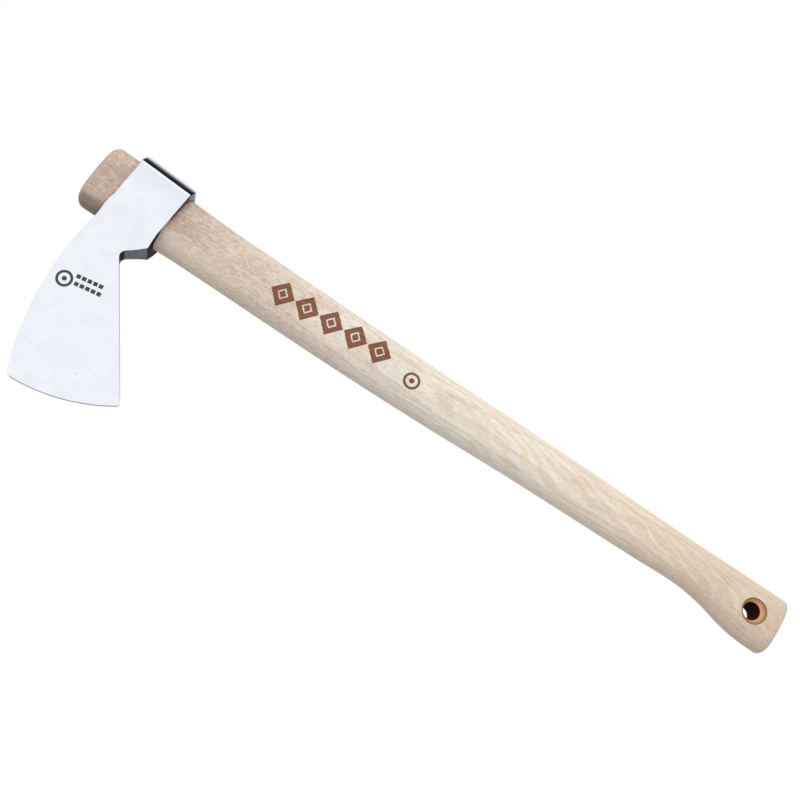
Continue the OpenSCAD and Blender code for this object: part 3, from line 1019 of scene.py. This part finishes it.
def build_world():
    """White surroundings, a little dimmer below.

    Only polished steel mirrors the dark strip overhead and the darker side behind.
    """
    world = bpy.data.worlds.new("studio")
    world.use_nodes = True
    graph = Graph(world.node_tree)
    direction = graph.split(graph.add("ShaderNodeTexCoord").outputs["Generated"])
    path = graph.add("ShaderNodeLightPath").outputs
    lean = graph.math("ARCTAN2", direction[2], graph.math("MULTIPLY", direction[1], -1.0))
    strip = graph.both(graph.fade(lean, *STRIP_NEAR), graph.fade(lean, *STRIP_FAR))
    behind = graph.both(
        graph.fade(direction[1], 0.3, 0.75),
        graph.fade(direction[2], 0.75, -0.3, 0.05, 0.6))
    dark = graph.either(graph.both(strip, STRIP_DARKNESS), behind)
    mirrored = graph.math("SUBTRACT", 1.0, dark)
    soft = graph.fade(direction[2], -0.9, 0.4, *SOFT_LEVELS)
    glossy = path["Is Glossy Ray"]
    other = graph.both(soft, graph.math("SUBTRACT", 1.0, glossy))
    level = graph.math("ADD", graph.both(mirrored, glossy), other)
    seen = path["Is Camera Ray"]
    strength = graph.math("ADD", seen, graph.both(level, graph.math("SUBTRACT", 1.0, seen)))
    light = graph.add("ShaderNodeBackground", {"Color": (1.0, 1.0, 1.0, 1.0), "Strength": strength})
    graph.add("ShaderNodeOutputWorld", {"Surface": light.outputs[0]})
    bpy.context.scene.world = world


def build_light(name, place, target, size, power):
    data = bpy.data.lights.new(name, "AREA")
    data.size = size
    data.energy = power
    light = bpy.data.objects.new(name, data)
    light.location = place
    light.rotation_euler = (Vector(target) - Vector(place)).to_track_quat("-Z", "Y").to_euler()
    light.visible_glossy = False
    bpy.context.scene.collection.objects.link(light)


def build_camera():
    """The photograph's view: from the edge's side, looking up along the blade, rolled clockwise."""
    data = bpy.data.cameras.new("camera")
    data.lens = VIEW_LENS
    camera = bpy.data.objects.new("camera", data)
    bpy.context.scene.collection.objects.link(camera)
    ahead = Vector((0, math.cos(VIEW_TILT), math.sin(VIEW_TILT)))
    level_up = Vector((0, -math.sin(VIEW_TILT), math.cos(VIEW_TILT)))
    level_right = Vector((1, 0, 0))
    right = level_right * math.cos(VIEW_ROLL) + level_up * math.sin(VIEW_ROLL)
    up = level_up * math.cos(VIEW_ROLL) - level_right * math.sin(VIEW_ROLL)
    turn = Matrix((right, up, -ahead)).transposed().to_4x4()
    camera.matrix_world = Matrix.Translation(VIEW_PLACE) @ turn
    bpy.context.scene.camera = camera


def build():
    bpy.context.scene.view_settings.view_transform = "Standard"
    axis_z = HOLE["pos_m"][2] / MM - HOLE_RISE
    profile = haft_profile()
    build_haft(profile, wood_material(axis_z))
    eye_x = eye_faces(axis_z)[1]
    places, rows = profile
    low, high, half = (float(np.interp(eye_x, places, rows[:, i])) for i in range(3))
    steel = steel_material(eye_x, axis_z, (low - axis_z, high - axis_z, half))
    build_head(profile, axis_z, steel)
    build_floor()
    build_world()
    build_light("key", KEY_PLACE, KEY_TARGET, KEY_SIZE, KEY_POWER)
    build_camera()


build()
